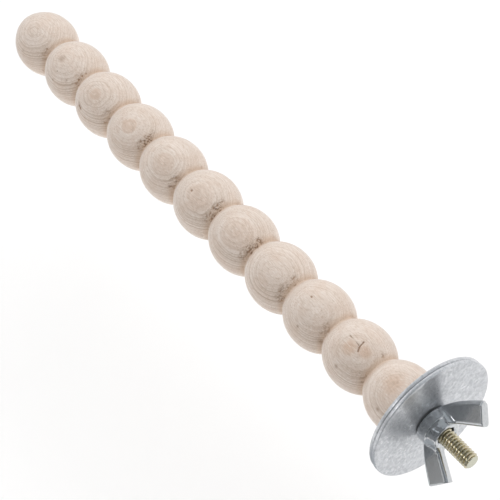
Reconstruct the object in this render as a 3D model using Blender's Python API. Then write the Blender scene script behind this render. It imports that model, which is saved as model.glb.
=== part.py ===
"""Wooden bird perch: a beaded stick of pale hardwood that bolts to the wires of a cage.

The stick is one turned piece with a hanger bolt in its near end. Two broad washers sit on the bolt's
machine thread, and a wing nut draws them together on the cage wires between them.

Metres, +Z up. The bolt's axis is the X axis, with the stick to -X and the bolt's end to +X. The origin
lies on that axis, on the inner washer's clamping face.
"""

import math

import bmesh
import bpy
from mathutils import Vector

# Turned stick
BEAD_COUNT = 11
BEAD_DIAMETER = 0.0257
BEAD_PITCH = 0.0231
NECK_DIAMETER = 0.0159
NECK_FILLET = 0.0006
FAR_STUB = 0.0004
NEAR_CUT = 0.0104
END_CHAMFER = 0.0004

# The bolt hole is drilled beside the turned axis
BOLT_OFFSET = 0.0018
BOLT_OFFSET_ANGLE = math.radians(28.5)

# Hanger bolt
STUD_DIAMETER = 0.0061
STUD_LENGTH = 0.0249
STUD_CHAMFER = 0.0007
SCREW_DIAMETER = 0.0058
SCREW_LENGTH = 0.0255
SCREW_POINT_LENGTH = 0.006
SCREW_POINT_DIAMETER = 0.001

# Washers
WASHER_DIAMETER = 0.0508
WASHER_THICKNESS = 0.0014
WASHER_EDGE = 0.0003

# Wing nut
HUB_DIAMETER = 0.0146
HUB_BASE_CHAMFER = 0.0007
HUB_COLLAR_HEIGHT = 0.0044
BOSS_STEP = 0.0004
BOSS_TOP_DIAMETER = 0.0112
BOSS_TOP_ROUND = 0.0004
HUB_HEIGHT = 0.0080
BORE_COUNTERSINK = 0.0006
WING_SPAN = 0.0378
WING_HEIGHT = 0.0182
WING_WIDTH = 0.0078
WING_LEAN = math.radians(40.0)
WING_THICKNESS = 0.0032
WING_EDGE_ROUND = 0.0009
WING_ROOT_HEIGHT = 0.0005
WING_SWEEP_HEIGHT = 0.0035
WING_SWEEP_RADIUS = 0.0123
WING_TURN = math.radians(-31.0)

# Clearances
SEAT_GAP = 0.0003
THREAD_GAP = 0.0003
SCREW_GAP = 0.0003
WASHER_CLEARANCE = 0.0009

# Facets
STICK_SIDES = 32
HALF_BEAD_STEPS = 4
FILLET_STEPS = 1
ROUND_SIDES = 40
WASHER_SIDES = 56
SWEEP_STEPS = 6
WING_EDGE_SEGMENTS = 2
CUT_OVERRUN = 0.002
MERGE_DISTANCE = 0.000001
BISECTIONS = 60
SHARP_ANGLE = math.radians(35)

# Stations along the bolt's axis
INNER_FACE = 0.0
OUTER_WASHER_BACK = INNER_FACE + SEAT_GAP
NUT_SEAT = OUTER_WASHER_BACK + WASHER_THICKNESS + SEAT_GAP
WOOD_FACE = INNER_FACE - WASHER_THICKNESS - SEAT_GAP
LAST_BEAD = WOOD_FACE - NEAR_CUT
FIRST_BEAD = LAST_BEAD - (BEAD_COUNT - 1) * BEAD_PITCH
FAR_FACE = FIRST_BEAD - BEAD_PITCH / 2 - FAR_STUB
OFFSET_DIRECTION = Vector((0.0, math.cos(BOLT_OFFSET_ANGLE), math.sin(BOLT_OFFSET_ANGLE)))


def clear_scene():
    """Start from an empty scene."""
    for leftover in list(bpy.data.objects):
        bpy.data.objects.remove(leftover)


def finish(name, colour, roughness, metallic):
    """A plain Principled finish with the piece's colour."""
    material = bpy.data.materials.new(name)
    material.use_nodes = True
    shader = material.node_tree.nodes["Principled BSDF"]
    shader.inputs["Base Color"].default_value = (*colour, 1.0)
    shader.inputs["Roughness"].default_value = roughness
    shader.inputs["Metallic"].default_value = metallic
    return material


def make_object(name, shape, material):
    """Turn a bmesh into a named object, shaded smooth except across sharp edges."""
    bmesh.ops.remove_doubles(shape, verts=shape.verts, dist=MERGE_DISTANCE)
    bmesh.ops.recalc_face_normals(shape, faces=shape.faces)
    mesh = bpy.data.meshes.new(name)
    shape.to_mesh(mesh)
    shape.free()
    mesh.shade_smooth()
    mesh.set_sharp_from_angle(angle=SHARP_ANGLE)
    if material is not None:
        mesh.materials.append(material)
    piece = bpy.data.objects.new(name, mesh)
    bpy.context.scene.collection.objects.link(piece)
    return piece


def make_cutter(name, shape):
    """A helper solid that only cuts another piece."""
    cutter = make_object(name, shape, None)
    cutter.hide_render = True
    cutter.display_type = "WIRE"
    return cutter


def boolean(piece, other, operation):
    """Cut or join with another solid, as a modifier that stays on the piece."""
    modifier = piece.modifiers.new(f"{operation.lower()}_{other.name}", "BOOLEAN")
    modifier.operation = operation
    modifier.solver = "EXACT"
    modifier.object = other


def turned(profile, sides, closed=False):
    """Spin (station, radius) points about the X axis; an open profile starts and ends on the axis."""
    shape = bmesh.new()
    verts = [shape.verts.new((station, radius, 0.0)) for station, radius in profile]
    edges = [shape.edges.new(pair) for pair in zip(verts, verts[1:])]
    if closed:
        edges.append(shape.edges.new((verts[-1], verts[0])))
    bmesh.ops.spin(
        shape,
        geom=verts + edges,
        cent=(0.0, 0.0, 0.0),
        axis=(1.0, 0.0, 0.0),
        angle=2 * math.pi,
        steps=sides,
        use_merge=True,
    )
    return shape


def bead_reach():
    """Half length of the ellipse that a bead follows: two of them cross at the neck."""
    return BEAD_PITCH / 2 / math.sqrt(1 - (NECK_DIAMETER / BEAD_DIAMETER) ** 2)


def bead_radius(along):
    """Radius of a bead at a distance from its centre."""
    return BEAD_DIAMETER / 2 * math.sqrt(1 - (along / bead_reach()) ** 2)


def bead_normal(along):
    """Outward normal of the bead's outline at a distance from its centre, as (axial, radial)."""
    slope = Vector((along / bead_reach() ** 2, bead_radius(along) / (BEAD_DIAMETER / 2) ** 2))
    return slope.normalized()


def fillet_start():
    """Distance from a bead's centre where the fillet of the neck leaves the bead."""
    low = 0.0
    high = BEAD_PITCH / 2
    for _ in range(BISECTIONS):
        middle = (low + high) / 2
        if middle + NECK_FILLET * bead_normal(middle).x < BEAD_PITCH / 2:
            low = middle
        else:
            high = middle
    return low


def neck_points():
    """One side of a neck's fillet, from the bead to the neck's floor, as (distance, radius)."""
    start = fillet_start()
    normal = bead_normal(start)
    centre_radius = bead_radius(start) + NECK_FILLET * normal.y
    lean = math.atan2(normal.x, normal.y)
    points = []
    for step in range(FILLET_STEPS + 1):
        angle = lean * (1 - step / FILLET_STEPS)
        along = BEAD_PITCH / 2 - NECK_FILLET * math.sin(angle)
        points.append((along, centre_radius - NECK_FILLET * math.cos(angle)))
    return points


def half_bead(end):
    """Points from a bead's crown to a distance from its centre, evenly turned round the ellipse."""
    last = math.asin(end / bead_reach())
    turns = [last * step / HALF_BEAD_STEPS for step in range(HALF_BEAD_STEPS + 1)]
    stations = [bead_reach() * math.sin(turn) for turn in turns]
    return [(along, bead_radius(along)) for along in stations]


def stick_profile():
    """The whole turned outline, from the middle of the far face to the middle of the near face."""
    neck = neck_points()
    flank = half_bead(neck[0][0])[:-1] + neck
    floor_radius = neck[-1][1]
    profile = [(FAR_FACE, 0.0), (FAR_FACE, floor_radius - FAR_STUB)]
    for bead in range(BEAD_COUNT):
        centre = FIRST_BEAD + bead * BEAD_PITCH
        profile += [(centre - along, radius) for along, radius in reversed(flank[1:])]
        if bead < BEAD_COUNT - 1:
            profile += [(centre + along, radius) for along, radius in flank[:-1]]
    near_edge = NEAR_CUT - END_CHAMFER
    profile += [(LAST_BEAD + along, radius) for along, radius in half_bead(near_edge)]
    profile.append((WOOD_FACE, bead_radius(near_edge) - END_CHAMFER))
    profile.append((WOOD_FACE, 0.0))
    return profile


def pilot_hole():
    """Blind hole that takes the bolt's screw end, with a coned floor."""
    radius = SCREW_DIAMETER / 2 + SCREW_GAP
    floor = WOOD_FACE - SCREW_LENGTH - SCREW_GAP
    cone = SCREW_POINT_LENGTH
    profile = [
        (floor, 0.0),
        (floor, SCREW_POINT_DIAMETER / 2 + SCREW_GAP),
        (floor + cone, radius),
        (WOOD_FACE + CUT_OVERRUN, radius),
        (WOOD_FACE + CUT_OVERRUN, 0.0),
    ]
    return make_cutter("pilot_hole", turned(profile, ROUND_SIDES))


def turned_perch(material):
    """The beaded stick, on its own axis beside the bolt's, with the blind hole for the bolt."""
    shape = turned(stick_profile(), STICK_SIDES)
    bmesh.ops.translate(shape, verts=shape.verts, vec=-BOLT_OFFSET * OFFSET_DIRECTION)
    perch = make_object("turned_perch", shape, material)
    boolean(perch, pilot_hole(), "DIFFERENCE")
    return perch


def hanger_bolt(material):
    """Machine-thread stud on one end, pointed wood screw on the other, seated in the stick."""
    tip = WOOD_FACE + STUD_LENGTH
    point = WOOD_FACE - SCREW_LENGTH
    profile = [
        (point, 0.0),
        (point, SCREW_POINT_DIAMETER / 2),
        (point + SCREW_POINT_LENGTH, SCREW_DIAMETER / 2),
        (WOOD_FACE, SCREW_DIAMETER / 2),
        (WOOD_FACE + SEAT_GAP, STUD_DIAMETER / 2),
        (tip - STUD_CHAMFER, STUD_DIAMETER / 2),
        (tip, STUD_DIAMETER / 2 - STUD_CHAMFER),
        (tip, 0.0),
    ]
    return make_object("hanger_bolt", turned(profile, ROUND_SIDES), material)


def washer(name, back, shift, material):
    """A broad flat washer with broken edges, its back face at a station on the bolt."""
    hole = STUD_DIAMETER / 2 + WASHER_CLEARANCE
    rim = WASHER_DIAMETER / 2
    front = back + WASHER_THICKNESS
    profile = [
        (back, hole),
        (front, hole),
        (front, rim - WASHER_EDGE),
        (front - WASHER_EDGE, rim),
        (back + WASHER_EDGE, rim),
        (back, rim - WASHER_EDGE),
    ]
    shape = turned(profile, WASHER_SIDES, closed=True)
    bmesh.ops.translate(shape, verts=shape.verts, vec=shift * OFFSET_DIRECTION)
    return make_object(name, shape, material)


def nut_hub(material):
    """Round hub of the wing nut: collar below, tapered boss above; the bore is cut later."""
    rim = HUB_DIAMETER / 2
    top = BOSS_TOP_DIAMETER / 2
    profile = [
        (0.0, 0.0),
        (0.0, rim - HUB_BASE_CHAMFER),
        (HUB_BASE_CHAMFER, rim),
        (HUB_COLLAR_HEIGHT, rim),
        (HUB_COLLAR_HEIGHT + BOSS_STEP, rim - BOSS_STEP),
        (HUB_HEIGHT - BOSS_TOP_ROUND, top),
        (HUB_HEIGHT, top - BOSS_TOP_ROUND),
        (HUB_HEIGHT, 0.0),
    ]
    return make_object("wing_nut", turned(profile, ROUND_SIDES), material)


def wing_tip():
    """Outer and inner corner of a wing's blunt tip, as (height, distance from the axis)."""
    across = Vector((-math.sin(WING_LEAN), math.cos(WING_LEAN))) * WING_WIDTH
    outer_radius = WING_SPAN / 2
    inner = Vector((WING_HEIGHT, outer_radius - across.y))
    return inner + across, inner


def wing_outline():
    """Outline of one wing as (height, distance from the axis): swept outer edge, blunt tip, straight back."""
    tip_outer, tip_inner = wing_tip()
    root = Vector((WING_ROOT_HEIGHT, HUB_DIAMETER / 2 - WING_EDGE_ROUND))
    handle = Vector((WING_SWEEP_HEIGHT, WING_SWEEP_RADIUS))
    points = [Vector((WING_ROOT_HEIGHT, 0.0))]
    for step in range(SWEEP_STEPS + 1):
        share = step / SWEEP_STEPS
        first = root.lerp(handle, share)
        second = handle.lerp(tip_outer, share)
        points.append(first.lerp(second, share))
    points.append(tip_inner)
    points.append(Vector((HUB_HEIGHT, BOSS_TOP_DIAMETER / 2 - BOSS_TOP_ROUND)))
    points.append(Vector((HUB_HEIGHT - BOSS_TOP_ROUND, 0.0)))
    return points


def nut_wings():
    """Both wings as one plate through the axis, with rounded edges, to be joined to the hub."""
    shape = bmesh.new()
    half = [shape.verts.new((point.x, -WING_THICKNESS / 2, point.y)) for point in wing_outline()]
    other = [shape.verts.new((vert.co.x, vert.co.y, -vert.co.z)) for vert in half[1:-1]]
    plate = shape.faces.new(half + other[::-1])
    grown = bmesh.ops.extrude_face_region(shape, geom=[plate])
    raised = [part for part in grown["geom"] if isinstance(part, bmesh.types.BMVert)]
    bmesh.ops.translate(shape, verts=raised, vec=(0.0, WING_THICKNESS, 0.0))
    bmesh.ops.recalc_face_normals(shape, faces=shape.faces)
    edges = [edge for edge in shape.edges if edge.calc_face_angle() > SHARP_ANGLE]
    bmesh.ops.bevel(
        shape,
        geom=edges,
        offset=WING_EDGE_ROUND,
        offset_type="OFFSET",
        segments=WING_EDGE_SEGMENTS,
        profile=0.5,
        affect="EDGES",
        clamp_overlap=True,
        material=-1,
    )
    return make_cutter("nut_wings", shape)


def nut_bore():
    """Bore through the nut for the stud, opened at both mouths."""
    radius = STUD_DIAMETER / 2 + THREAD_GAP
    mouth = radius + BORE_COUNTERSINK + CUT_OVERRUN
    profile = [
        (-CUT_OVERRUN, 0.0),
        (-CUT_OVERRUN, mouth),
        (BORE_COUNTERSINK, radius),
        (HUB_HEIGHT - BORE_COUNTERSINK, radius),
        (HUB_HEIGHT + CUT_OVERRUN, mouth),
        (HUB_HEIGHT + CUT_OVERRUN, 0.0),
    ]
    return make_cutter("nut_bore", turned(profile, ROUND_SIDES))


def wing_nut(material):
    """Hub and wings joined, bored through, turned to its rest angle on the bolt."""
    nut = nut_hub(material)
    for tool, operation in ((nut_wings(), "UNION"), (nut_bore(), "DIFFERENCE")):
        boolean(nut, tool, operation)
        tool.parent = nut
    nut.location = (NUT_SEAT, 0.0, 0.0)
    nut.rotation_euler = (WING_TURN, 0.0, 0.0)
    return nut


def main():
    clear_scene()
    wood = finish("pale_wood", colour=(0.72, 0.60, 0.50), roughness=0.6, metallic=0.0)
    yellow_zinc = finish("yellow_zinc", colour=(0.42, 0.37, 0.20), roughness=0.35, metallic=1.0)
    washer_zinc = finish("washer_zinc", colour=(0.62, 0.63, 0.65), roughness=0.38, metallic=1.0)
    nut_zinc = finish("nut_zinc", colour=(0.60, 0.62, 0.64), roughness=0.25, metallic=1.0)
    turned_perch(wood)
    hanger_bolt(yellow_zinc)
    slip = WASHER_CLEARANCE - SEAT_GAP
    washer("inner_washer", INNER_FACE - WASHER_THICKNESS, slip, washer_zinc)
    washer("outer_washer", OUTER_WASHER_BACK, 0.0, washer_zinc)
    wing_nut(nut_zinc)


main()
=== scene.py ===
# %% [markdown]
# # Dressing a wooden bird perch
# The perch is a stick of pale wood, turned into a row of beads, with a bolt, two broad washers and a wing
# nut that clamp it to the wires of a cage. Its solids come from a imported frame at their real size. This
# lesson gives each of them the surface that the real one has: growth rings and torn grain on the wood,
# a cut thread on the bolt, zinc on the steel. Every size is in metres, and +X runs out along the bolt.

# %% The frame
import math

import bmesh
import bpy
import numpy as np
from mathutils import Matrix, Vector, noise
from mathutils.bvhtree import BVHTree


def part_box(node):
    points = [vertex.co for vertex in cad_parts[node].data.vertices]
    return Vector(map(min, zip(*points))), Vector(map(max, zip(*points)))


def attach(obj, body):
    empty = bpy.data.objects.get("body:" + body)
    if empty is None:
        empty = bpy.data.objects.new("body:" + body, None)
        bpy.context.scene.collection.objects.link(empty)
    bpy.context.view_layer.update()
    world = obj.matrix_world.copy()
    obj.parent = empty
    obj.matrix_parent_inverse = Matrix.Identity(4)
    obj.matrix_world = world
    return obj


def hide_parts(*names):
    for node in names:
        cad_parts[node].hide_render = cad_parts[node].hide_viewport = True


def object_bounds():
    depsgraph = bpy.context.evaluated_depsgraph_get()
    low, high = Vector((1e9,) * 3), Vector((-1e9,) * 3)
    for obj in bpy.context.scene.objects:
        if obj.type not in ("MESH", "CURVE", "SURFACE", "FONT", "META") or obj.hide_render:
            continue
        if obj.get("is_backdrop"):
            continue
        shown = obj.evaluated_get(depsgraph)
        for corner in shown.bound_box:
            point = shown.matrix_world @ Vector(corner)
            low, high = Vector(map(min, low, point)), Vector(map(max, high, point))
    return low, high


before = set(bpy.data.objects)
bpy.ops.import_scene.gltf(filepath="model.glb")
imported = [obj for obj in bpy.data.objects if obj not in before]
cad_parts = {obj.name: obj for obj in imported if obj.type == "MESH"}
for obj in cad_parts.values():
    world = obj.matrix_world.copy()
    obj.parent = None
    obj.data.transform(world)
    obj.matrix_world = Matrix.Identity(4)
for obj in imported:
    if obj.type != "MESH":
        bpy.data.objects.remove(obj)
cad_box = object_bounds()
for node in sorted(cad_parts):
    low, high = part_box(node)
    print(node, "measures", [round(1000 * side, 1) for side in high - low], "mm")

# %% [markdown]
# ## The camera
# The photograph was taken from above and in front of the bolt, with a long lens. Where a camera stood can
# be worked out from what it saw: here the outlines of eleven equal beads and of the round washer fix the
# place, the two angles and the lens. The picture is square, so one focal length in pixels serves both ways.

# %% Camera
PICTURE_WIDTH = 500
FOCAL_PIXELS = 1774
CAMERA_PLACE = Vector((0.26015, -0.26703, 0.48696))
CAMERA_AZIMUTH = math.radians(53.67)
CAMERA_ELEVATION = math.radians(47.54)


def toward(azimuth, elevation):
    """Unit vector from the object to a viewer; azimuth 0 stands at -Y and turns towards +X."""
    level = math.cos(elevation)
    return Vector((math.sin(azimuth) * level, -math.cos(azimuth) * level, math.sin(elevation)))


camera_side = toward(CAMERA_AZIMUTH, CAMERA_ELEVATION)
camera = bpy.data.objects.new("camera", bpy.data.cameras.new("camera"))
camera.location = CAMERA_PLACE
camera.rotation_euler = (-camera_side).to_track_quat("-Z", "Y").to_euler()
camera.data.lens = camera.data.sensor_width * FOCAL_PIXELS / PICTURE_WIDTH
camera.data.clip_start = 0.01
bpy.context.scene.collection.objects.link(camera)
bpy.context.scene.camera = camera
bpy.context.view_layer.update()
print("camera stands", round(CAMERA_PLACE.length, 3), "m away, lens", round(camera.data.lens, 1), "mm")

# %% [markdown]
# ## Nodes in one line
# A material is a small graph. Writing it node by node takes three lines each, so one helper adds a node,
# sets its options, and sets or links its inputs, whichever each value calls for. The others build on it:
# arithmetic, a mix of two colours, a change of range, noise in space and a new material.

# %% Node helpers


def wire(tree, kind, inputs=None, **options):
    """Add a node; an input given as a socket is linked, any other value is set."""
    made = tree.nodes.new(kind)
    for option, value in options.items():
        setattr(made, option, value)
    for slot, value in (inputs or {}).items():
        if isinstance(value, bpy.types.NodeSocket):
            tree.links.new(value, made.inputs[slot])
        else:
            made.inputs[slot].default_value = value
    return made


def calculate(tree, operation, first, second=0.0):
    """One step of arithmetic on two values or sockets."""
    return wire(tree, "ShaderNodeMath", {0: first, 1: second}, operation=operation).outputs[0]


def measure(tree, operation, *vectors):
    """One number from one or two vectors, such as a length or a dot product."""
    slots = dict(enumerate(vectors))
    return wire(tree, "ShaderNodeVectorMath", slots, operation=operation).outputs["Value"]


def blend_colour(tree, share, first, second):
    """Mix two colours by a share from 0 to 1."""
    mixer = wire(tree, "ShaderNodeMix", {"Factor": share}, data_type="RGBA")
    for slot, colour in ((6, first), (7, second)):
        if isinstance(colour, bpy.types.NodeSocket):
            tree.links.new(colour, mixer.inputs[slot])
        else:
            mixer.inputs[slot].default_value = (*colour, 1.0)
    return mixer.outputs[2]


def spread(tree, value, low, high, to_low=0.0, to_high=1.0):
    """Map a range of a value to another, smoothly and without running past its ends."""
    return wire(
        tree,
        "ShaderNodeMapRange",
        {"Value": value, "From Min": low, "From Max": high, "To Min": to_low, "To Max": to_high},
        interpolation_type="SMOOTHSTEP",
    ).outputs["Result"]


def noise_in_space(tree, place, scale, detail):
    """Noise from 0 to 1, with about that many lumps to a metre."""
    slots = {"Vector": place, "Scale": scale, "Detail": detail}
    return wire(tree, "ShaderNodeTexNoise", slots).outputs["Fac"]


def new_material(name):
    """A material with its tree, its shader and the place of each point on the object."""
    made = bpy.data.materials.new(name)
    made.use_nodes = True
    tree = made.node_tree
    place = wire(tree, "ShaderNodeTexCoord").outputs["Object"]
    return made, tree, tree.nodes["Principled BSDF"], place


print("node helpers ready")

# %% [markdown]
# ## The studio
# The object was photographed in white surroundings, so light comes from all round it and the rims of the
# beads are bright. A white world gives that light in one step. The camera and the metal see it as pure
# white. The wood gets a little less of it, so that its pale colour doesn't burn out.

# %% World
WORLD_LEVEL = 0.92

scene = bpy.context.scene
scene.view_settings.view_transform = "Standard"
world = bpy.data.worlds.new("white_room")
world.use_nodes = True
scene.world = world
sky = world.node_tree
sky.nodes.clear()


def seen_directly(tree):
    """1 for what the camera sees, straight or in a mirror or glass, and 0 for soft light."""
    path = wire(tree, "ShaderNodeLightPath").outputs
    straight = calculate(tree, "MAXIMUM", path["Is Camera Ray"], path["Is Glossy Ray"])
    return calculate(tree, "MAXIMUM", straight, path["Is Transmission Ray"])


level = spread(sky, seen_directly(sky), 0.0, 1.0, WORLD_LEVEL, 1.0)
glow = wire(sky, "ShaderNodeBackground", {"Color": (1.0, 1.0, 1.0, 1.0), "Strength": level})
wire(sky, "ShaderNodeOutputWorld", {"Surface": glow.outputs[0]})
print("world lights the object at", WORLD_LEVEL)

# %% [markdown]
# A pale floor lies well below the perch and carries a faint shadow. Farther off it thins out for the camera
# alone, so the picture ends in the white of the world, while the light that the floor sends up stays. In a
# studio, a sheet of paper that sweeps up behind the object does the same.

# %% Floor
FLOOR_DROP = 0.10
FLOOR_SIZE = 12.0
FLOOR_WHITE = (0.9, 0.9, 0.9, 1.0)
FLOOR_GLOW = 0.11
FLOOR_FADE = (0.3, 0.75)


def object_from(name, shape):
    """An object made of a bmesh, which is used up."""
    mesh = bpy.data.meshes.new(name)
    shape.to_mesh(mesh)
    shape.free()
    thing = bpy.data.objects.new(name, mesh)
    scene.collection.objects.link(thing)
    return thing


def stage_object(name, shape, material):
    """A floor or a curtain, which isn't part of the object."""
    thing = object_from(name, shape)
    thing.data.materials.append(material)
    thing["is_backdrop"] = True
    return thing


def floor_paint():
    """White paint that keeps a shadow near the object and runs out into the white world farther off."""
    paint, tree, shader, place = new_material("white_floor")
    shader.inputs["Base Color"].default_value = FLOOR_WHITE
    shader.inputs["Roughness"].default_value = 0.9
    shader.inputs["Emission Color"].default_value = (1.0, 1.0, 1.0, 1.0)
    lift = calculate(tree, "MULTIPLY", seen_directly(tree), FLOOR_GLOW)
    tree.links.new(lift, shader.inputs["Emission Strength"])
    away = spread(tree, measure(tree, "LENGTH", place), *FLOOR_FADE)
    looked_at = wire(tree, "ShaderNodeLightPath").outputs["Is Camera Ray"]
    thinned = calculate(tree, "MULTIPLY", looked_at, away)
    tree.links.new(calculate(tree, "SUBTRACT", 1.0, thinned), shader.inputs["Alpha"])
    return paint


ground = bmesh.new()
bmesh.ops.create_grid(ground, x_segments=1, y_segments=1, size=FLOOR_SIZE / 2)
bmesh.ops.translate(ground, verts=ground.verts, vec=(0.0, 0.0, cad_box[0].z - FLOOR_DROP))
stage_object("floor", ground, floor_paint())
print("floor lies", FLOOR_DROP, "m below the perch")

# %% [markdown]
# The side where the camera stands is dim, and so is a little of the left, which is why the middle of each
# bead is darker than its edge. Two dim curtains with soft edges shade the wood that way. Metal shows its
# surroundings more sharply, so a set of cool grey flags is seen in the metal alone. Each hangs in the
# direction that some face of the nut or the washers looks in, and the camera window is a pale gap among them.

# %% Curtains and flags
CURTAIN_SIDES = 64
CURTAIN_FADE = 0.55
# Azimuth, elevation and half angle in degrees, grey, distance in metres.
CURTAINS = {
    "camera_curtain": (46, 33, 50, 0.20, 1.8),
    "left_curtain": (-36, 4, 20, 0.34, 1.8),
}
MIRROR_FLAGS = {
    "camera_flag": (46, 33, 50, 0.20, 1.7),
    "camera_window": (30, 34, 8, 0.85, 1.5),
    "front_flag": (2, 6, 24, 0.20, 1.6),
    "left_flag": (-22, 56, 34, 0.33, 1.6),
    "ceiling_flag": (20, 84, 58, 0.60, 1.7),
    "low_flag": (36, -13, 28, 0.16, 0.14),
    "right_flag": (82, -25, 24, 0.22, 0.12),
    "table_flag": (-10, -58, 34, 0.42, 0.1),
    "far_flag": (-95, -50, 36, 0.42, 0.1),
}
WHITE = Vector((1.0, 1.0, 1.0))
COOL = Vector((0.93, 1.0, 1.07))


def curtain_cloth(reach, shade):
    """Dim cloth that thins out towards its edge."""
    cloth, tree, shader, place = new_material("dim_curtain")
    shader.inputs["Base Color"].default_value = (*shade, 1.0)
    away = measure(tree, "LENGTH", place)
    tree.links.new(spread(tree, away, CURTAIN_FADE * reach, reach, 1.0, 0.0), shader.inputs["Alpha"])
    return cloth


for name, (azimuth, elevation, half_angle, grey, distance) in {**CURTAINS, **MIRROR_FLAGS}.items():
    reach = distance * math.tan(math.radians(half_angle))
    drape = bmesh.new()
    bmesh.ops.create_circle(drape, cap_ends=True, segments=CURTAIN_SIDES, radius=reach)
    tint = COOL if name in MIRROR_FLAGS else WHITE
    curtain = stage_object(name, drape, curtain_cloth(reach, tint * grey))
    side = toward(math.radians(azimuth), math.radians(elevation))
    curtain.location = side * distance
    curtain.rotation_euler = side.to_track_quat("Z", "Y").to_euler()
    curtain.visible_camera = False
    curtain.visible_diffuse = name in CURTAINS
    curtain.visible_shadow = name in CURTAINS
print("stage:", len(CURTAINS), "curtains and", len(MIRROR_FLAGS), "mirror flags")

# %% [markdown]
# Three soft lamps lift the shadows: one overhead, one low in front, and one under the stick in place of the
# light that a white table sends up. They don't show in the metal. The spark lamp is the opposite: it is
# small, and only what mirrors it is lit, which puts a bright point on each crest of the thread.

# %% Lamps
# Place, aim, side in metres, watts.
LAMPS = {
    "top_lamp": ((-0.1, 0.25, 1.1), (0.0, 0.0, 0.0), 1.1, 6.0),
    "front_fill": ((-0.05, -1.0, -0.08), (0.0, 0.0, 0.0), 1.0, 0.8),
    "table_light": ((-0.13, -0.1, -0.12), (-0.13, -0.1, 0.0), 0.45, 0.45),
    "spark_lamp": ((-0.518, -1.046, 0.762), (0.015, 0.0, 0.0), 0.3, 1.35),
}

for name, (place, aim, size, power) in LAMPS.items():
    lamp = bpy.data.objects.new(name, bpy.data.lights.new(name, "AREA"))
    lamp.data.size = size
    lamp.data.energy = power
    lamp.location = place
    lamp.rotation_euler = (Vector(place) - Vector(aim)).to_track_quat("Z", "Y").to_euler()
    only_mirrored = name == "spark_lamp"
    lamp.visible_camera = False
    lamp.visible_glossy = only_mirrored
    lamp.visible_diffuse = not only_mirrored
    scene.collection.objects.link(lamp)
print(len(LAMPS), "lamps hang")

# %% [markdown]
# ## Pieces on their bodies
# Each finished piece stands for one solid of the frame, takes the finish that it is given, and rides on the
# body that carries it. Its object stays at the origin, with its place in the mesh. Round pieces all begin
# the same way: an outline of stations and radii is spun about the X axis, merged and turned outwards.

# %% Piece helpers
WELD = 1e-6


def add_piece(name, shape, finish, stands_for, body):
    """Make an object of a bmesh, dress it, and let it ride in the place of a solid."""
    piece = object_from(name, shape)
    mesh = piece.data
    mesh.shade_smooth()
    mesh.materials.append(finish)
    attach(piece, body)
    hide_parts(stands_for)
    mesh.calc_loop_triangles()
    print(name, "has", len(mesh.loop_triangles), "triangles and rides on", body)
    return piece


def close_up(shape):
    """Weld a shape's doubled points and turn its faces outwards."""
    bmesh.ops.remove_doubles(shape, verts=shape.verts, dist=WELD)
    bmesh.ops.recalc_face_normals(shape, faces=shape.faces)
    return shape


def turn_outline(outline, sides, closed=False):
    """Spin (station, radius) points about the X axis into a closed shape."""
    shape = bmesh.new()
    points = [shape.verts.new((station, radius, 0.0)) for station, radius in outline]
    lines = [shape.edges.new(pair) for pair in zip(points, points[1:])]
    if closed:
        lines.append(shape.edges.new((points[-1], points[0])))
    bmesh.ops.spin(
        shape,
        geom=points + lines,
        cent=(0.0, 0.0, 0.0),
        axis=(1.0, 0.0, 0.0),
        angle=2 * math.pi,
        steps=sides,
        use_merge=True,
    )
    return close_up(shape)


def evaluated(work, *others):
    """What an object's modifiers make of it, as a bmesh; the objects are used up."""
    result = bmesh.new()
    result.from_object(work, bpy.context.evaluated_depsgraph_get())
    for thing in (work, *others):
        mesh = thing.data
        bpy.data.objects.remove(thing)
        bpy.data.meshes.remove(mesh)
    return result


def combine(shape, tool, operation):
    """Join, cut or intersect two closed shapes with a Boolean, and give back the result as a bmesh."""
    work = object_from("work", shape)
    cutter = object_from("tool", tool)
    modifier = work.modifiers.new("combine", "BOOLEAN")
    modifier.operation = operation
    modifier.solver = "EXACT"
    modifier.object = cutter
    return evaluated(work, cutter)


print("piece helpers ready")

# %% [markdown]
# ## The beaded stick
# The stick was turned on a lathe from one length of pale wood: eleven equal beads that run into each other
# at narrow necks. Its outline is a formula. Each bead follows an ellipse, and the distance from a bead's
# middle is softened near the neck, so that the tool's small round nose shows there.

# %% Outline of the stick
BEADS = 11
BEAD_PITCH = 0.0231
NECK_DIAMETER = 0.0159
NECK_SOFTNESS = 0.00025
NEAR_CUT = 0.0104
END_CHAMFER = 0.0004
STICK_SIDES = 190
FAR_STEPS = 10
NEAR_STEPS = 11
NECK_STEPS = 20
NECK_SHARE = 0.7

stick_low, stick_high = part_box("turned_perch")
stick_middle = (stick_low + stick_high) / 2
stick_offset = Vector((0.0, stick_middle.y, stick_middle.z))
bead_radius = (stick_high.y - stick_low.y) / 2
half_pitch = BEAD_PITCH / 2
bead_reach = half_pitch / math.sqrt(1 - (NECK_DIAMETER / 2 / bead_radius) ** 2)
near_face = stick_high.x
last_bead = near_face - NEAR_CUT
first_bead = last_bead - (BEADS - 1) * BEAD_PITCH


def stick_radius(along):
    """Radius of the stick at a distance from the nearest bead's middle."""
    softened = half_pitch - math.hypot(half_pitch - abs(along), NECK_SOFTNESS)
    return bead_radius * math.sqrt(1 - (softened / bead_reach) ** 2)


def bead_stations(start, end, steps):
    """Distances from a bead's middle, evenly turned round its ellipse."""
    first = math.asin(start / bead_reach)
    last = math.asin(end / bead_reach)
    return [bead_reach * math.sin(first + (last - first) * step / steps) for step in range(steps)]


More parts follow.
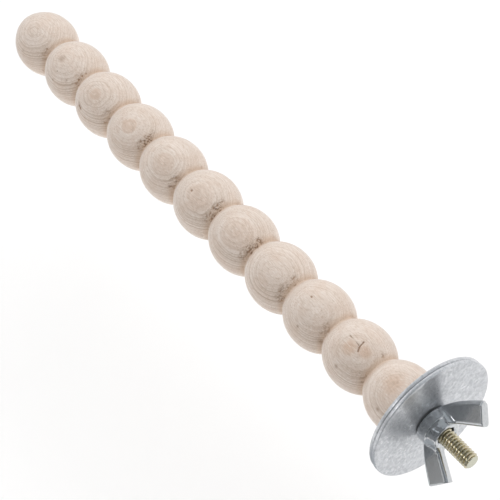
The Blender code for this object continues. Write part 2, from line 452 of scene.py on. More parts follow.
def stick_outline():
    """The whole outline, with closer points on the flanks that face the bolt."""
    far_face = stick_low.x
    outline = [(far_face, 0.0)]
    outline.append((far_face, stick_radius(half_pitch) - END_CHAMFER))
    for bead in range(BEADS):
        centre = first_bead + bead * BEAD_PITCH
        end = NEAR_CUT - END_CHAMFER if bead == BEADS - 1 else half_pitch
        neck = NECK_SHARE * half_pitch
        stations = bead_stations(-half_pitch, 0.0, FAR_STEPS)
        stations += bead_stations(0.0, neck, NEAR_STEPS) + bead_stations(neck, end, NECK_STEPS)
        outline += [(centre + along, stick_radius(along)) for along in stations]
    outline.append((near_face - END_CHAMFER, stick_radius(NEAR_CUT - END_CHAMFER)))
    outline.append((near_face, stick_radius(NEAR_CUT) - END_CHAMFER))
    outline.append((near_face, 0.0))
    return outline


stick = turn_outline(stick_outline(), STICK_SIDES)
bmesh.ops.translate(stick, verts=stick.verts, vec=stick_offset)
print("stick outline spun to", len(stick.faces), "faces")

# %% [markdown]
# The bolt is screwed into a blind hole that was drilled a little beside the turned axis. A turned drill
# shape cuts it. It is hidden while the washers are on, but it is there when the bolt is looked at.

# %% Hole for the bolt
bolt_low, bolt_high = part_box("hanger_bolt")
HOLE_DIAMETER = 0.0064
DRILL_POINT = 0.006
DRILL_OVERRUN = 0.002
HOLE_SPARE = 0.0003
HOLE_SIDES = 48

hole_floor = bolt_low.x - HOLE_SPARE
drill = turn_outline(
    [
        (hole_floor, 0.0),
        (hole_floor + DRILL_POINT, HOLE_DIAMETER / 2),
        (near_face + DRILL_OVERRUN, HOLE_DIAMETER / 2),
        (near_face + DRILL_OVERRUN, 0.0),
    ],
    HOLE_SIDES,
)
stick = combine(stick, drill, "DIFFERENCE")
stick_tree = BVHTree.FromBMesh(stick)
print("stick drilled, now", len(stick.faces), "faces")

# %% [markdown]
# ## Wear on the wood
# Where the turning tool cut against the fibres, beside each neck, it tore small pits out of the end grain.
# Some beads have more: a nick, a smudge, a knot with a split. These are real dents, so they are pressed
# into the mesh. How dark a point is, how torn and how pink is kept in attributes that the finish reads, and
# so is how deep in a neck it lies, which sets the painted shade in the crease between two beads. A mark is
# placed by the pixel of the photograph that shows it: a ray from the camera finds that point of the stick,
# and the mesh is made finer round it.

# %% Points on the stick
PIXEL_AT_STICK = 0.00037
# Two pixels, half width in pixels, darkness.
SPLITS = {
    "long arm": ((349.5, 335.0), (358.5, 345.0), 0.45, 0.5),
    "short arm": ((363.5, 341.5), (359.0, 346.5), 0.55, 0.85),
    "foot": ((359.0, 346.5), (357.5, 351.0), 0.75, 0.75),
}
# Pixel, radius in pixels, depth and darkness as shares.
SPOTS = {
    "pit on the first bead": ((46.5, 48.5), 1.2, 0.5, 0.8),
    "pit beside it": ((22.5, 50.0), 1.6, 0.5, 0.4),
    "smudge low on the first bead": ((42.2, 53.5), 1.8, 0.1, 0.4),
    "pit low on the first bead": ((42.8, 70.3), 1.3, 0.2, 0.7),
    "smudge on the second bead": ((61.0, 58.0), 4.5, 0.0, 0.4),
    "speck on the second bead": ((56.7, 70.6), 1.1, 0.2, 0.5),
    "first pit on the second bead": ((78.3, 79.4), 1.4, 0.4, 0.9),
    "second pit on the second bead": ((81.7, 75.6), 1.2, 0.4, 0.9),
    "third pit on the second bead": ((75.6, 83.3), 1.6, 0.3, 0.6),
    "fourth pit on the second bead": ((85.6, 73.3), 1.1, 0.3, 0.7),
    "fifth pit on the second bead": ((66.1, 80.0), 1.2, 0.3, 0.5),
    "sixth pit on the second bead": ((52.3, 79.3), 1.5, 0.2, 0.5),
    "nick on the third bead, upper end": ((78.8, 105.0), 2.2, 0.0, 1.0),
    "nick on the third bead, lower end": ((79.9, 107.4), 2.2, 0.0, 1.0),
    "tail of the nick": ((78.5, 102.3), 1.5, 0.0, 0.7),
    "pit on the sixth bead": ((191.0, 190.0), 1.3, 1.0, 0.9),
    "pit on the ninth bead": ((311.0, 296.3), 1.2, 0.5, 1.0),
    "smudge on the ninth bead": ((297.0, 326.0), 1.7, 0.3, 0.5),
    "smudge on the tenth bead": ((335.5, 366.0), 2.2, 0.2, 0.5),
    "speckle on the last bead": ((393.0, 383.0), 2.0, 0.0, 0.25),
    "second speckle": ((397.0, 382.0), 1.4, 0.0, 0.3),
    "smudge on the last bead": ((377.0, 409.0), 2.2, 0.2, 0.5),
}
MARK_REACH = 0.0007
FINER_PASSES = 2


def on_photo(pixel):
    """The point of the stick that a pixel of the photograph shows."""
    across = (pixel[0] + 0.5 - PICTURE_WIDTH / 2) / FOCAL_PIXELS
    down = (pixel[1] + 0.5 - PICTURE_WIDTH / 2) / FOCAL_PIXELS
    ray = camera.matrix_world.to_3x3() @ Vector((across, -down, -1.0))
    return stick_tree.ray_cast(camera.location, ray.normalized())[0]


def from_line(points, first, second):
    """Distance of each point from the line between two pixels' points."""
    start = np.array(on_photo(first))
    run = np.array(on_photo(second)) - start
    share = np.clip((points - start) @ run / (run @ run), 0.0, 1.0)
    return np.linalg.norm(points - start - share[:, None] * run, axis=1)


def marked_edges():
    """Edges near a small mark, where the mesh has to be finer."""
    points = np.array([vert.co for vert in stick.verts])
    near = np.zeros(len(points), dtype=bool)
    for first, second, width, darkness in SPLITS.values():
        near |= from_line(points, first, second) < MARK_REACH
    for pixel, radius, depth, darkness in SPOTS.values():
        reach = MARK_REACH + radius * PIXEL_AT_STICK
        near |= np.linalg.norm(points - np.array(on_photo(pixel)), axis=1) < reach
    stick.verts.index_update()
    return [edge for edge in stick.edges if any(near[vert.index] for vert in edge.verts)]


for finer in range(FINER_PASSES):
    bmesh.ops.subdivide_edges(stick, edges=marked_edges(), cuts=1, use_grid_fill=True)
places = np.array([vert.co for vert in stick.verts])
print("stick has", len(places), "points")

# %% [markdown]
# Torn grain lies on the flank that faces the bolt, and each bead has its own stretch of it, given by two
# angles about the axis that count from the side which the camera sees best. Inside a stretch, the lines
# where a noise passes zero draw the short wriggling tears. The hidden side gets fainter ones in patches.

# %% Torn grain
# Bead, first and last angle in degrees, strength.
TEARS = (
    (1, -40, -4, 0.45),
    (2, -35, 20, 0.4),
    (3, -45, -5, 0.6),
    (4, -27, 30, 1.0),
    (5, -45, 13, 0.65),
    (6, -32, 33, 0.9),
    (7, -34, 34, 1.0),
    (8, -45, 25, 0.75),
    (9, -50, 10, 0.5),
    (10, -50, -15, 0.5),
    (10, 33, 45, 0.8),
)
TEAR_FADE = math.radians(9)
TEAR_FLANK = (0.68, 0.84)
TEAR_DEPTH = 0.0004
TEAR_DARKNESS = 0.85
TEAR_GRAIN = 950.0
TEAR_SQUEEZE = 0.5
TEAR_LINE = (0.22, 0.05)
TEAR_PATCH = 560.0
PATCH_EDGE = (-0.22, 0.15)
HIDDEN_TEARS = 0.4
HIDDEN_SIDE = (math.radians(55), math.radians(75))
HIDDEN_PATCH = 230.0
HIDDEN_EDGE = (-0.1, 0.4)
# Painted shade: how strong the brown in each neck's crease is, and over which part of the flank it lies.
NECK_SHADE_STRENGTH = 0.4
NECK_SHADE_EDGE = (0.8, 0.98)
LAYER_UP = Vector((0.0, -0.48, 0.877))


def smooth_step(value, low, high):
    """0 below low, 1 above high, smooth between; for one value or many."""
    share = np.clip((value - low) / (high - low), 0.0, 1.0)
    return share * share * (3 - 2 * share)


def noise_at(points, scale, squeeze=0.0):
    """Noise at each point, squeezed across the growth layers."""
    squeezed = [point + LAYER_UP * point.dot(LAYER_UP) * squeeze for point in points]
    return np.array([noise.noise(point * scale) for point in squeezed])


beads_along = np.clip(np.round((places[:, 0] - first_bead) / BEAD_PITCH), 0, BEADS - 1)
along_bead = places[:, 0] - first_bead - beads_along * BEAD_PITCH
from_middle = np.abs(along_bead) / half_pitch
aside = LAYER_UP.cross(Vector((1.0, 0.0, 0.0)))
from_axis = places - np.array(stick_offset)
turns = np.arctan2(from_axis @ np.array(aside), from_axis @ np.array(LAYER_UP))
points = [vert.co for vert in stick.verts]
hidden = smooth_step(np.abs(turns), *HIDDEN_SIDE)
tears = HIDDEN_TEARS * hidden * smooth_step(noise_at(points, HIDDEN_PATCH), *HIDDEN_EDGE)
for bead, start, end, strength in TEARS:
    opening = smooth_step(turns, math.radians(start) - TEAR_FADE, math.radians(start) + TEAR_FADE)
    closing = smooth_step(turns, math.radians(end) + TEAR_FADE, math.radians(end) - TEAR_FADE)
    here = (along_bead > 0) & (beads_along == bead - 1)
    tears = np.maximum(tears, strength * opening * closing * here)
tears *= smooth_step(from_middle, *TEAR_FLANK)
squiggles = smooth_step(np.abs(noise_at(points, TEAR_GRAIN, TEAR_SQUEEZE)), *TEAR_LINE)
stains = TEAR_DARKNESS * tears * squiggles * smooth_step(noise_at(points, TEAR_PATCH), *PATCH_EDGE)
dents = stains * TEAR_DEPTH
# Painted shade in the crease at each neck, where one bead shades the next.
painted_neck_shade = NECK_SHADE_STRENGTH * smooth_step(from_middle, *NECK_SHADE_EDGE)
print("torn grain on", int((tears > 0.1).sum()), "points, pits on", int((stains > 0.1).sum()))

# %% [markdown]
# Single marks come last. A spot is a soft round dent and a split is a dark line between two pixels. A heart
# is the pink patch inside the smallest ring of a bead, with a pale ring round it, and a knot is pink without
# that ring. All dents are then pressed in at once, against the surface's normals.

# %% Nicks, smudges and the split knot
# Pixel, radius in pixels, strength.
HEARTS = {
    "third bead": ((95.0, 93.5), 7.0, 0.9),
    "fourth bead": ((128.3, 125.0), 9.0, 1.0),
    "fifth bead": ((162.0, 163.0), 13.0, 0.6),
    "sixth bead": ((198.0, 196.0), 17.0, 0.55),
    "seventh bead": ((236.0, 232.0), 18.0, 0.6),
    "eighth bead": ((274.0, 272.0), 18.0, 0.35),
}
KNOTS = {
    "wood left of the split": ((349.0, 347.0), 10.0, 1.5),
    "wood right of the split": ((364.5, 351.5), 8.5, 1.5),
    "middle of the last bead": ((392.0, 383.0), 15.0, 1.2),
    "first bead": ((28.0, 26.0), 18.0, 0.45),
    "second bead": ((61.0, 58.0), 18.0, 0.45),
}
DENT_DEPTH = 0.0004
SPOT_EDGE = 1.3
SPLIT_EDGE = 1.5
HEART_EDGE = (1.1, 0.9)
PALE_RING = 0.8
RING_INNER_EDGE = (0.95, 1.1)
RING_OUTER_EDGE = (1.4, 1.15)
KNOT_EDGE = (1.2, 0.2)


def away_from(pixel, radius):
    """Distance of each point of the stick from a pixel's point, in radii given in pixels."""
    return np.linalg.norm(places - np.array(on_photo(pixel)), axis=1) / (radius * PIXEL_AT_STICK)


for pixel, radius, depth, darkness in SPOTS.values():
    share = np.clip(SPOT_EDGE - away_from(pixel, radius), 0.0, 1.0)
    dents = np.maximum(dents, share * depth * DENT_DEPTH)
    stains = np.maximum(stains, share * darkness)
for first, second, width, darkness in SPLITS.values():
    away = from_line(places, first, second) / (width * PIXEL_AT_STICK)
    share = np.clip(SPLIT_EDGE - away, 0.0, 1.0)
    dents = np.maximum(dents, share * DENT_DEPTH)
    stains = np.maximum(stains, share * darkness)
hearts = np.zeros(len(places))
for pixel, radius, strength in HEARTS.values():
    away = away_from(pixel, radius)
    ring = smooth_step(away, *RING_INNER_EDGE) * smooth_step(away, *RING_OUTER_EDGE)
    hearts += strength * (smooth_step(away, *HEART_EDGE) - PALE_RING * ring)
for pixel, radius, strength in KNOTS.values():
    hearts = np.maximum(hearts, strength * smooth_step(away_from(pixel, radius), *KNOT_EDGE))
stick.normal_update()
for vert, dent in zip(stick.verts, dents):
    vert.co -= vert.normal * dent
print("marks pressed in, deepest", round(1000 * dents.max(), 2), "mm")

# %% [markdown]
# ## Bare pale wood
# The layers that the tree grew each year cut the surface as fine lines. They lie nearly flat along the
# stick, so on every bead they close into rings round the place where the surface runs level with a layer.
# A one-dimensional noise along the layers' direction makes lines of uneven width, as a tree does. The
# layers climb towards the bolt, which moves the rings from bead to bead. Fine fuzz on bare wood catches
# light at the rim of each bead, which is what sheen is for.

# %% Wood layers
LAYER_CLIMB = 0.03
LAYER_BEND = 0.62
WAVER_SCALE = 110.0
WAVER_REACH = 0.0016
WANDER_PACE = 0.45
WANDER_REACH = 2.0
STRENGTH_PACE = 0.8
STRENGTH_RANGE = (0.35, 0.62, 0.5, 1.0)


def growth_layer(tree, place):
    """Height of a point across the tree's layers, which climb towards the bolt and waver a little."""
    across = measure(tree, "DOT_PRODUCT", place, LAYER_UP)
    station = wire(tree, "ShaderNodeSeparateXYZ", {0: place}).outputs["X"]
    run = calculate(tree, "SUBTRACT", station, first_bead)
    slope = calculate(tree, "ADD", calculate(tree, "MULTIPLY", run, LAYER_BEND), LAYER_CLIMB)
    climb = calculate(tree, "MULTIPLY", run, slope)
    waver = calculate(tree, "SUBTRACT", noise_in_space(tree, place, WAVER_SCALE, 3.0), 0.5)
    shift = calculate(tree, "MULTIPLY", waver, WAVER_REACH)
    return calculate(tree, "ADD", calculate(tree, "ADD", across, climb), shift)


def along_layers(tree, layer, density):
    """Noise that changes only from layer to layer."""
    slots = {"W": calculate(tree, "MULTIPLY", layer, density), "Scale": 1.0}
    return wire(tree, "ShaderNodeTexNoise", slots, noise_dimensions="1D").outputs["Fac"]


def ring_lines(tree, layer, density):
    """Growth rings of uneven width and strength: each darkens slowly to a thin line and starts pale again."""
    wander = calculate(tree, "MULTIPLY", along_layers(tree, layer, density * WANDER_PACE), WANDER_REACH)
    height = calculate(tree, "ADD", calculate(tree, "MULTIPLY", layer, density), wander)
    season = calculate(tree, "FRACT", height)
    strength = spread(tree, along_layers(tree, layer, density * STRENGTH_PACE), *STRENGTH_RANGE)
    return calculate(tree, "MULTIPLY", calculate(tree, "POWER", season, 2.0), strength)


def facing(tree, direction):
    """How squarely the surface faces a direction: 1 towards it, -1 away from it."""
    normal = wire(tree, "ShaderNodeNewGeometry").outputs["Normal"]
    return measure(tree, "DOT_PRODUCT", normal, direction)


def kept(tree, name):
    """A value kept on the mesh."""
    return wire(tree, "ShaderNodeAttribute", attribute_name=name).outputs["Fac"]


print("layers climb", round(LAYER_CLIMB + 2 * LAYER_BEND * (last_bead - first_bead), 2), "at the bolt")

# %% [markdown]
# The finish starts from pale wood and lays coats over it, each with the share that lies on a point. Rings
# are weak where the surface runs level with the layers. On the lower side of the stick they are painted
# darker, as painted shade of their relief, and the brown at each neck is painted shade of its crease.

# %% Wood finish
FINE_DENSITY = 2400.0
RING_DENSITY = 1150.0
BAND_DENSITY = 300.0
FINE_STRENGTH = 0.32
RING_STRENGTH = 0.85
LEVEL_FADE = (0.97, 0.65, 0.2, 1.0)
LOWER_SIDE_SHADE = (0.5, -0.4, 0.45, 1.0)
FIBRE_SCALE = (420.0, 3000.0, 3000.0)
SPECK_SCALE = 2600.0
BLUSH_SCALE = 170.0
TORN_TINT = 0.14
RING_RELIEF = 0.6
RELIEF_HEIGHT = 0.00012
WOOD_PALE = (0.787, 0.691, 0.620)
WOOD_CHALK = (0.86, 0.815, 0.775)
WOOD_RING = (0.445, 0.322, 0.232)
WOOD_BAND = (0.640, 0.530, 0.445)
WOOD_PINK = (0.640, 0.465, 0.355)
# Colour of the painted shade in the necks' creases.
WOOD_NECK_SHADE = (0.50, 0.32, 0.19)
WOOD_PIT = (0.26, 0.14, 0.068)


def wood_finish():
    """Pale bare wood with growth rings, short fibres, pink hearts, dark pits and painted shade."""
    wood, tree, shader, place = new_material("pale_turned_wood")
    layer = growth_layer(tree, place)
    bands = along_layers(tree, layer, BAND_DENSITY)
    fine = ring_lines(tree, layer, FINE_DENSITY)
    rings = ring_lines(tree, layer, RING_DENSITY)
    steep = spread(tree, calculate(tree, "ABSOLUTE", facing(tree, LAYER_UP)), *LEVEL_FADE)
    # Painted shade: ring lines are darkened more on the lower side of the stick, where their relief is in
    # shade.
    ring_slope_and_shade = calculate(tree, "MULTIPLY", steep, spread(tree, facing(tree, aside), *LOWER_SIDE_SHADE))
    strong_rings = calculate(tree, "MULTIPLY", rings, RING_STRENGTH)
    drawn_out = wire(tree, "ShaderNodeMapping", {"Vector": place, "Scale": FIBRE_SCALE}).outputs[0]
    fibre = noise_in_space(tree, drawn_out, 1.0, 1.0)
    blush = noise_in_space(tree, place, BLUSH_SCALE, 2.0)
    heart = kept(tree, "heart")
    torn = kept(tree, "torn")
    torn_tint = calculate(tree, "MULTIPLY", torn, TORN_TINT)
    specks = calculate(tree, "ADD", noise_in_space(tree, place, SPECK_SCALE, 1.0), torn_tint)
    torn_share = spread(tree, torn, 0.1, 0.6, 0.0, 0.5)
    pits = calculate(tree, "MULTIPLY", spread(tree, specks, 0.70, 0.78), torn_share)

    colour = WOOD_PALE
    for share, coat in (
        (spread(tree, bands, 0.35, 0.65, 0.0, 0.3), WOOD_BAND),
        (spread(tree, blush, 0.42, 0.66, 0.0, 0.22), WOOD_PINK),
        (spread(tree, heart, 0.0, 1.5, 0.0, 0.75), WOOD_PINK),
        (spread(tree, heart, 0.0, -1.0, 0.0, 0.6), WOOD_CHALK),
        (spread(tree, fibre, 0.45, 0.25, 0.0, 0.5), WOOD_CHALK),
        (calculate(tree, "MULTIPLY", fine, FINE_STRENGTH), WOOD_RING),
        (calculate(tree, "MULTIPLY", ring_slope_and_shade, strong_rings), WOOD_RING),
        (spread(tree, fibre, 0.5, 0.75, 0.0, 0.42), WOOD_RING),
        (torn_tint, WOOD_RING),
        # Painted shade in the creases at the necks.
        (kept(tree, "neck"), WOOD_NECK_SHADE),
        (calculate(tree, "MAXIMUM", kept(tree, "stain"), pits), WOOD_PIT),
    ):
        colour = blend_colour(tree, share, colour, coat)
    tree.links.new(colour, shader.inputs["Base Color"])
    shader.inputs["Roughness"].default_value = 0.75
    shader.inputs["Specular IOR Level"].default_value = 0.3
    shader.inputs["Sheen Weight"].default_value = 0.7
    shader.inputs["Sheen Roughness"].default_value = 0.35

    ridges = calculate(tree, "MULTIPLY", rings, RING_RELIEF)
    relief = calculate(tree, "ADD", ridges, calculate(tree, "ADD", fibre, pits))
    slots = {"Height": relief, "Strength": 0.6, "Distance": RELIEF_HEIGHT}
    bump = wire(tree, "ShaderNodeBump", slots, invert=True)
    tree.links.new(bump.outputs["Normal"], shader.inputs["Normal"])
    return wood


beaded_stick = add_piece("beaded_stick", stick, wood_finish(), "turned_perch", "perch")
# The neck attribute holds the painted shade of the creases; stain, torn and heart are the wood's own marks.
for name, values in (("stain", stains), ("torn", tears), ("neck", painted_neck_shade), ("heart", hearts)):
    attribute = beaded_stick.data.attributes.new(name, "FLOAT", "POINT")
    attribute.data.foreach_set("value", values.astype(np.float32))
    print(name, "reaches", round(float(values.max()), 2))

# %% [markdown]
# ## The washers
# Both washers are punched from sheet steel. The punch rolls the edge on one face and leaves the other
# sharp, and thin sheet is never quite flat. An outline with a rolled corner is spun, and a slow noise
# bends the faces by a few hundredths of a millimetre, enough to break up what they mirror.

# %% Washer shape
ROLLED_EDGE = 0.00035
SHARP_EDGE = 0.0001
EDGE_STEPS = 4
WASHER_SIDES = 160
FACE_RINGS = 14
SHEET_WAVE = 0.00003
SHEET_SCALE = 90.0
WASHER_CLEARANCE = 0.0009
RIM_WEAR = {"inner_washer": 0.0002, "outer_washer": 0.0}
WASHER_SLIP = {
    "inner_washer": Vector((0.0, -0.0001, 0.0)),
    "outer_washer": Vector((0.0, 0.0003, 0.0003)),
}

stud_radius = (bolt_high.y - bolt_low.y) / 2


def arc(centre, radius, start, end, steps):
    """Points of an arc in an outline of (station, radius)."""
    turns = [math.radians(start + (end - start) * step / steps) for step in range(steps + 1)]
    return [(centre[0] + radius * math.cos(turn), centre[1] + radius * math.sin(turn)) for turn in turns]


def washer_shape(node):
    """A punched washer in the place of a solid, its rolled edge towards the bolt's end."""
    low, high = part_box(node)
    rim = (high.y - low.y) / 2 - RIM_WEAR[node]
    hole = stud_radius + WASHER_CLEARANCE
    start = hole + ROLLED_EDGE
    width = rim - hole - 2 * ROLLED_EDGE
    rings = [start + width * step / FACE_RINGS for step in range(1, FACE_RINGS)]
    outline = [(low.x, radius) for radius in reversed(rings)]
    outline += [(low.x, hole + SHARP_EDGE), (low.x + SHARP_EDGE, hole)]
    outline += arc((high.x - ROLLED_EDGE, hole + ROLLED_EDGE), ROLLED_EDGE, -90, 0, EDGE_STEPS)
    outline += [(high.x, radius) for radius in rings]
    outline += arc((high.x - ROLLED_EDGE, rim - ROLLED_EDGE), ROLLED_EDGE, 0, 90, EDGE_STEPS)
    outline += [(low.x + SHARP_EDGE, rim), (low.x, rim - SHARP_EDGE)]
    shape = turn_outline(outline, WASHER_SIDES, closed=True)
    middle = (low + high) / 2 + WASHER_SLIP[node]
    bmesh.ops.translate(shape, verts=shape.verts, vec=(0.0, middle.y, middle.z))
    for vert in shape.verts:
        vert.co.x += SHEET_WAVE * noise.noise(vert.co * SHEET_SCALE)
    return shape


print("washer hole", round(2000 * (stud_radius + WASHER_CLEARANCE), 1), "mm wide")

# %% [markdown]
# ## Zinc
# Plated zinc is a soft mirror: a metal whose gloss changes from grain to grain. The washers came out of a
# barrel, so they are mottled and dull, and a quarter of what they send back is matt. The nut is brighter and
# almost all mirror. One function makes both, from how dull, how mottled and how metallic each is.

# %% Zinc finish
GRAIN_SCALE = 900.0
FINE_GRAIN_SCALE = 4200.0
FINE_GRAIN_SHARE = 0.4
GRAIN_RANGE = (0.5, 0.95)
GRAIN_HEIGHT = 0.00005


def zinc_finish(name, colour, shade, gloss, mottled, metal):
    """Plated steel: two tones and a range of roughness, mixed by grains of two sizes."""
    zinc, tree, shader, place = new_material(name)
    coarse = noise_in_space(tree, place, GRAIN_SCALE, 4.0)
    fine = noise_in_space(tree, place, FINE_GRAIN_SCALE, 1.0)
    grain = calculate(tree, "ADD", calculate(tree, "MULTIPLY", fine, FINE_GRAIN_SHARE), coarse)
    cloud = spread(tree, grain, *GRAIN_RANGE)
    tree.links.new(blend_colour(tree, cloud, colour, shade), shader.inputs["Base Color"])
    tree.links.new(spread(tree, grain, *GRAIN_RANGE, *gloss), shader.inputs["Roughness"])
    shader.inputs["Metallic"].default_value = metal
    bump = wire(tree, "ShaderNodeBump", {"Height": grain, "Strength": mottled, "Distance": GRAIN_HEIGHT})
    tree.links.new(bump.outputs["Normal"], shader.inputs["Normal"])
    return zinc


washer_zinc = zinc_finish(
    "dull_washer_zinc",
    colour=(0.70, 0.712, 0.737),
    shade=(0.50, 0.515, 0.537),
    gloss=(0.27, 0.39),
    mottled=0.15,
    metal=0.75,
)
for node in ("inner_washer", "outer_washer"):
    add_piece(f"{node}_disc", washer_shape(node), washer_zinc, node, node)

# %% [markdown]
# ## The threaded bolt
# A hanger bolt has a machine thread on one end and a wood screw on the other. A thread is one tooth of
# outline carried round the axis while it climbs one pitch for each turn, which is what a spin with a step
# along the axis does. Its crest is a narrow flat with a chamfer on each side, as rolling leaves it. The ridge
# is cut off square at both ends, closed, and trimmed by a turned blank, so that it runs out at the chamfer
# of the bolt's end.

# %% Thread helper
THREAD_SIDES = 40
CREST_CHAMFER = 0.1
CREST_SLOPE = math.radians(36)


def thread_rod(start, end, pitch, crest, root, crest_flat, root_flat):
    """A closed rod with a right-hand thread between two stations."""
    shape = bmesh.new()
    chamfer = CREST_CHAMFER * pitch
    shoulder = crest - chamfer * math.tan(CREST_SLOPE)
    foot = root_flat / 2
    top = (pitch - crest_flat) / 2
    half = [(0.0, root), (foot, root), (top - chamfer, shoulder), (top, crest)]
    whole = half + [(pitch - along, radius) for along, radius in reversed(half)]
    first = start - pitch
    points = [shape.verts.new((first + along, radius, 0.0)) for along, radius in whole]
    lines = [shape.edges.new(pair) for pair in zip(points, points[1:])]
    turns = math.ceil((end - start) / pitch) + 2
    bmesh.ops.spin(
        shape,
        geom=points + lines,
        cent=(0.0, 0.0, 0.0),
        axis=(1.0, 0.0, 0.0),
        dvec=(pitch / THREAD_SIDES, 0.0, 0.0),
        angle=2 * math.pi * turns,
        steps=THREAD_SIDES * turns,
        use_merge=False,
    )
    bmesh.ops.remove_doubles(shape, verts=shape.verts, dist=WELD)
    for station, outward in ((start, -1.0), (end, 1.0)):
        cut = bmesh.ops.bisect_plane(
            shape,
            geom=shape.verts[:] + shape.edges[:] + shape.faces[:],
            plane_co=(station, 0.0, 0.0),
            plane_no=(outward, 0.0, 0.0),
            clear_outer=True,
        )
        rim = [part for part in cut["geom_cut"] if isinstance(part, bmesh.types.BMEdge)]
        bmesh.ops.triangle_fill(shape, edges=rim, use_beauty=True)
    return close_up(shape)


print("thread helper ready")

# %% Bolt shape
THREAD_PITCH = 0.00127
STUD_CREST = 0.00313
STUD_ROOT = 0.00226
STUD_CHAMFER = 0.0007
SCREW_PITCH = 0.0021
SCREW_ROOT = 0.0019
SCREW_CREST = 0.0029
SCREW_POINT = 0.006
STUD_FLATS = (THREAD_PITCH / 7, THREAD_PITCH / 9)
SCREW_FLATS = (SCREW_PITCH / 12, SCREW_PITCH / 3)
BLANK_SIDES = 64
BLANK_SPARE = 1.1
SHOULDER = 0.0015
SHOULDER_FIT = 0.98
BOLT_SLIP = Vector((0.0, -0.0002, -0.0001))

stud_end = bolt_high.x
machine_thread = thread_rod(near_face, stud_end + WELD, THREAD_PITCH, STUD_CREST, STUD_ROOT, *STUD_FLATS)
stud_blank = turn_outline(
    [
        (near_face - SHOULDER, 0.0),
        (near_face - SHOULDER, STUD_CREST * BLANK_SPARE),
        (stud_end - STUD_CHAMFER * BLANK_SPARE, STUD_CREST * BLANK_SPARE),
        (stud_end - STUD_CHAMFER, STUD_CREST),
        (stud_end, STUD_CREST - STUD_CHAMFER),
        (stud_end, 0.0),
    ],
    BLANK_SIDES,
)
bolt = combine(machine_thread, stud_blank, "INTERSECT")

screw_end = near_face - SHOULDER / 2
wood_screw = thread_rod(bolt_low.x, screw_end, SCREW_PITCH, SCREW_CREST, SCREW_ROOT, *SCREW_FLATS)
screw_blank = turn_outline(
    [
        (bolt_low.x, 0.0),
        (bolt_low.x + SCREW_POINT, SCREW_CREST),
        (screw_end, SCREW_CREST * BLANK_SPARE),
        (screw_end, 0.0),
    ],
    BLANK_SIDES,
)
bolt = combine(bolt, combine(wood_screw, screw_blank, "INTERSECT"), "UNION")
shoulder = turn_outline(
    [
        (near_face - 2 * SHOULDER, 0.0),
        (near_face - 2 * SHOULDER, SCREW_ROOT),
        (near_face - SHOULDER, STUD_ROOT),
        (near_face + SHOULDER, STUD_ROOT * SHOULDER_FIT),
        (near_face + SHOULDER, 0.0),
    ],
    BLANK_SIDES,
)
bolt = combine(bolt, shoulder, "UNION")
bmesh.ops.translate(bolt, verts=bolt.verts, vec=BOLT_SLIP)
print("bolt has", round((stud_end - near_face) / THREAD_PITCH, 1), "turns of machine thread")

# %% [markdown]
# Yellow zinc is zinc with a passivated skin, olive gold with patches that lean to pink and green. The skin
# is thin, so the bolt stays a mirror with only a small matt share, and its colour wanders. The cut end shows
# paler. Edges sharper than a set angle stay sharp, so the flat crests keep their own glint, while each
# chamfer runs smoothly into its flank.

# %% Yellow zinc finish
GOLD = (0.62, 0.56, 0.40)
OLIVE = (0.50, 0.46, 0.33)
ROSE = (0.64, 0.51, 0.45)
BARE_END = (0.58, 0.575, 0.47)
END_FADE = (0.0003, 0.0001)
PATCH_SCALE = 420.0
BLOOM_SCALE = 760.0
SHARP_ANGLE = math.radians(33)


def yellow_zinc_finish():
    """Olive gold metal with rosy patches."""
    skin, tree, shader, place = new_material("yellow_bolt_zinc")
    patch = noise_in_space(tree, place, PATCH_SCALE, 2.0)
    bloom = noise_in_space(tree, place, BLOOM_SCALE, 1.0)
    colour = blend_colour(tree, spread(tree, patch, 0.38, 0.62), GOLD, OLIVE)
    colour = blend_colour(tree, spread(tree, bloom, 0.55, 0.75, 0.0, 0.5), colour, ROSE)
    station = wire(tree, "ShaderNodeSeparateXYZ", {0: place}).outputs["X"]
    cut_end = spread(tree, station, stud_end - END_FADE[0], stud_end - END_FADE[1])
    colour = blend_colour(tree, cut_end, colour, BARE_END)
    tree.links.new(colour, shader.inputs["Base Color"])
    tree.links.new(spread(tree, patch, 0.3, 0.7, 0.14, 0.26), shader.inputs["Roughness"])
    shader.inputs["Metallic"].default_value = 0.92
    return skin


threaded_bolt = add_piece("threaded_bolt", bolt, yellow_zinc_finish(), "hanger_bolt", "perch")
threaded_bolt.data.set_sharp_from_angle(angle=SHARP_ANGLE)

# %% [markdown]
# ## The wing nut
# The nut is a forging: a round hub with a collar and a tapered boss, and two flat wings that sweep outwards
# and thicken where they grow out of the hub. A wing starts as a flat grid that is rolled into a tube: each
# row becomes a section between the swept outer edge and the straight inner one, rounded at its inner corners
# and bevelled flat at its outer ones. Hub and wings are joined, and a fine remesh melts the joints into the
# small fillets that a forging has.

# %% Hub of the nut
HUB_RADIUS = 0.0073
HUB_HEIGHT = 0.0080
HUB_FOOT = 0.0007
COLLAR_HEIGHT = 0.0044
BOSS_STEP = 0.0004
BOSS_TOP_RADIUS = 0.0056
BOSS_TOP_ROUND = 0.0004
BORE_CLEARANCE = 0.0004
BORE_MOUTH = 0.0007
HUB_SIDES = 96

bore = stud_radius + BORE_CLEARANCE


def nut_hub():
    """Collar, tapered boss and bore, turned about the axis with the seat at station 0."""
    outline = [
        (0.0, bore + BORE_MOUTH),
        (0.0, HUB_RADIUS - HUB_FOOT),
        (HUB_FOOT, HUB_RADIUS),
        (COLLAR_HEIGHT, HUB_RADIUS),
        (COLLAR_HEIGHT + BOSS_STEP, HUB_RADIUS - BOSS_STEP),
        (HUB_HEIGHT - BOSS_TOP_ROUND, BOSS_TOP_RADIUS),
        (HUB_HEIGHT, BOSS_TOP_RADIUS - BOSS_TOP_ROUND),
        (HUB_HEIGHT, bore + BORE_MOUTH),
        (HUB_HEIGHT - BORE_MOUTH, bore),
        (BORE_MOUTH, bore),
    ]
    return turn_outline(outline, HUB_SIDES, closed=True)


print("hub", 2000 * HUB_RADIUS, "mm wide,", 1000 * HUB_HEIGHT, "mm tall")

